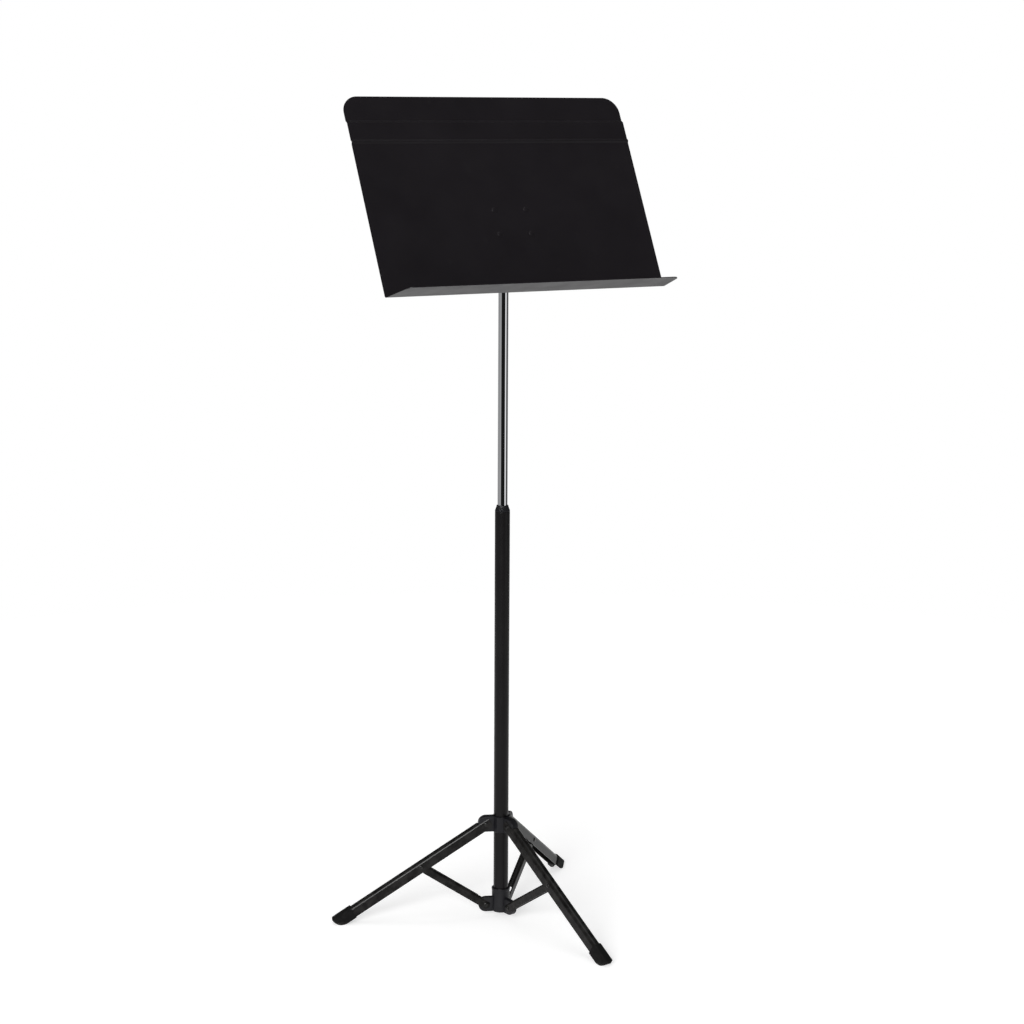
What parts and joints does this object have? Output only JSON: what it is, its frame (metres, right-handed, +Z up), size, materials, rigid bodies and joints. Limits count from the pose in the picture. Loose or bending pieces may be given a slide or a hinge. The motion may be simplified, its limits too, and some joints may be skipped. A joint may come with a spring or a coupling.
{
  "type": "music stand",
  "caption": "Tall black music stand: folding channel-leg tripod with rubber boots, telescoping column with a bright inner shaft, and a wide tilting sheet-metal desk with a lip.",
  "frame": {"origin": "on the floor, at the middle of the open stand's footprint; the column's axis stands 7.8 mm towards +X and 50 mm towards +Y from it", "axes": "+Z up along the column; the desk faces the player on -Y; +X to the player's right as they face the desk"},
  "size_m": [0.5235, 0.4688, 1.371],
  "materials": {
    "desk_black": "fine-textured satin black powder coat",
    "tube_black": "satin black enamel",
    "channel_black": "satin black powder coat on pressed steel",
    "moulded_black": "moulded glass-filled nylon, satin",
    "rubber_black": "matt moulded rubber",
    "rivet_black": "black-finished steel, slightly rubbed",
    "shaft_chrome": "bright chrome plate",
    "zinc_steel": "bright zinc plate",
    "spring_steel": "hardened spring steel",
    "nylon_white": "natural nylon"
  },
  "bodies": {
    "column": {"outer_tube": "tube_black", "base_socket": "moulded_black", "socket_screw": "zinc_steel", "guide_bush": "moulded_black", "bush_button": "moulded_black", "rivet_low_left": "rivet_black", "rivet_low_front": "rivet_black", "rivet_low_rear": "rivet_black"},
    "clutch": {"clutch_carrier": "nylon_white", "clutch_spring_1": "spring_steel", "clutch_spring_2": "spring_steel", "clutch_spring_3": "spring_steel", "clutch_pad_1": "moulded_black", "clutch_pad_2": "moulded_black", "clutch_pad_3": "moulded_black"},
    "shaft": {"inner_shaft": "shaft_chrome", "clutch_spindle": "zinc_steel", "retaining_clip": "spring_steel", "tilt_head": "moulded_black", "head_roll_pin": "spring_steel"},
    "desk": {"desk": "desk_black", "backing_plate": "desk_black", "tilt_bracket": "desk_black", "desk_rivet_1": "desk_black", "desk_rivet_2": "desk_black", "desk_rivet_3": "desk_black", "desk_rivet_4": "desk_black", "tilt_bolt": "zinc_steel", "lock_nut": "zinc_steel", "friction_washer_1": "nylon_white", "friction_washer_2": "nylon_white", "spring_washer_1": "spring_steel", "spring_washer_2": "spring_steel"},
    "strut_left": {"strut_left": "channel_black"},
    "leg_left": {"leg_left": "channel_black", "boot_left": "rubber_black", "rivet_top_left": "rivet_black", "rivet_mid_left": "rivet_black"},
    "strut_front": {"strut_front": "channel_black"},
    "leg_front": {"leg_front": "channel_black", "boot_front": "rubber_black", "rivet_top_front": "rivet_black", "rivet_mid_front": "rivet_black"},
    "strut_rear": {"strut_rear": "channel_black"},
    "leg_rear": {"leg_rear": "channel_black", "boot_rear": "rubber_black", "rivet_top_rear": "rivet_black", "rivet_mid_rear": "rivet_black"},
    "collar": {"sliding_collar": "moulded_black"}
  },
  "joints": [
    {"name": "strut_left_fold", "type": "hinge", "parent": "column", "child": "strut_left", "pos_m": [-0.01639, 0.05953, 0.0237], "axis": [0.3665, 0.9304, 0], "range_deg": [0, 50.7]},
    {"name": "leg_left_fold", "type": "hinge", "parent": "strut_left", "child": "leg_left", "pos_m": [-0.11906, 0.09997, 0.09485], "axis": [-0.3665, -0.9304, 0], "range_deg": [0, 101.4]},
    {"name": "strut_front_fold", "type": "hinge", "parent": "column", "child": "strut_front", "pos_m": [0.01164, 0.02429, 0.0237], "axis": [-0.989, -0.1478, 0], "range_deg": [0, 50.7]},
    {"name": "leg_front_fold", "type": "hinge", "parent": "strut_front", "child": "leg_front", "pos_m": [0.02795, -0.08485, 0.09485], "axis": [0.989, 0.1478, 0], "range_deg": [0, 101.4]},
    {"name": "strut_rear_fold", "type": "hinge", "parent": "column", "child": "strut_rear", "pos_m": [0.02815, 0.06618, 0.0237], "axis": [0.6225, -0.7826, 0], "range_deg": [0, 50.7]},
    {"name": "leg_rear_fold", "type": "hinge", "parent": "strut_rear", "child": "leg_rear", "pos_m": [0.11451, 0.13488, 0.09485], "axis": [-0.6225, 0.7826, 0], "range_deg": [0, 101.4]},
    {"name": "collar_fold", "type": "hinge", "parent": "leg_left", "child": "collar", "pos_m": [-0.01639, 0.05953, 0.166], "axis": [0.3665, 0.9304, 0], "range_deg": [0, 50.7]},
    {"name": "column_height", "type": "slide", "parent": "column", "child": "clutch", "axis": [0, 0, 1], "range_m": [-0.4, 0.1]},
    {"name": "desk_swivel", "type": "hinge", "parent": "clutch", "child": "shaft", "pos_m": [0.0078, 0.05, 0.482], "axis": [0, 0, 1], "continuous": true},
    {"name": "desk_tilt", "type": "hinge", "parent": "shaft", "child": "desk", "pos_m": [0.0078, 0.05, 1.16], "axis": [-1, 0, 0], "range_deg": [-26, 63]}
  ],
  "couplings": [
    {"joint": "leg_left_fold", "follows": "strut_left_fold", "ratio": 2},
    {"joint": "strut_front_fold", "follows": "strut_left_fold", "ratio": 1},
    {"joint": "leg_front_fold", "follows": "strut_left_fold", "ratio": 2},
    {"joint": "strut_rear_fold", "follows": "strut_left_fold", "ratio": 1},
    {"joint": "leg_rear_fold", "follows": "strut_left_fold", "ratio": 2},
    {"joint": "collar_fold", "follows": "strut_left_fold", "ratio": 1}
  ]
}
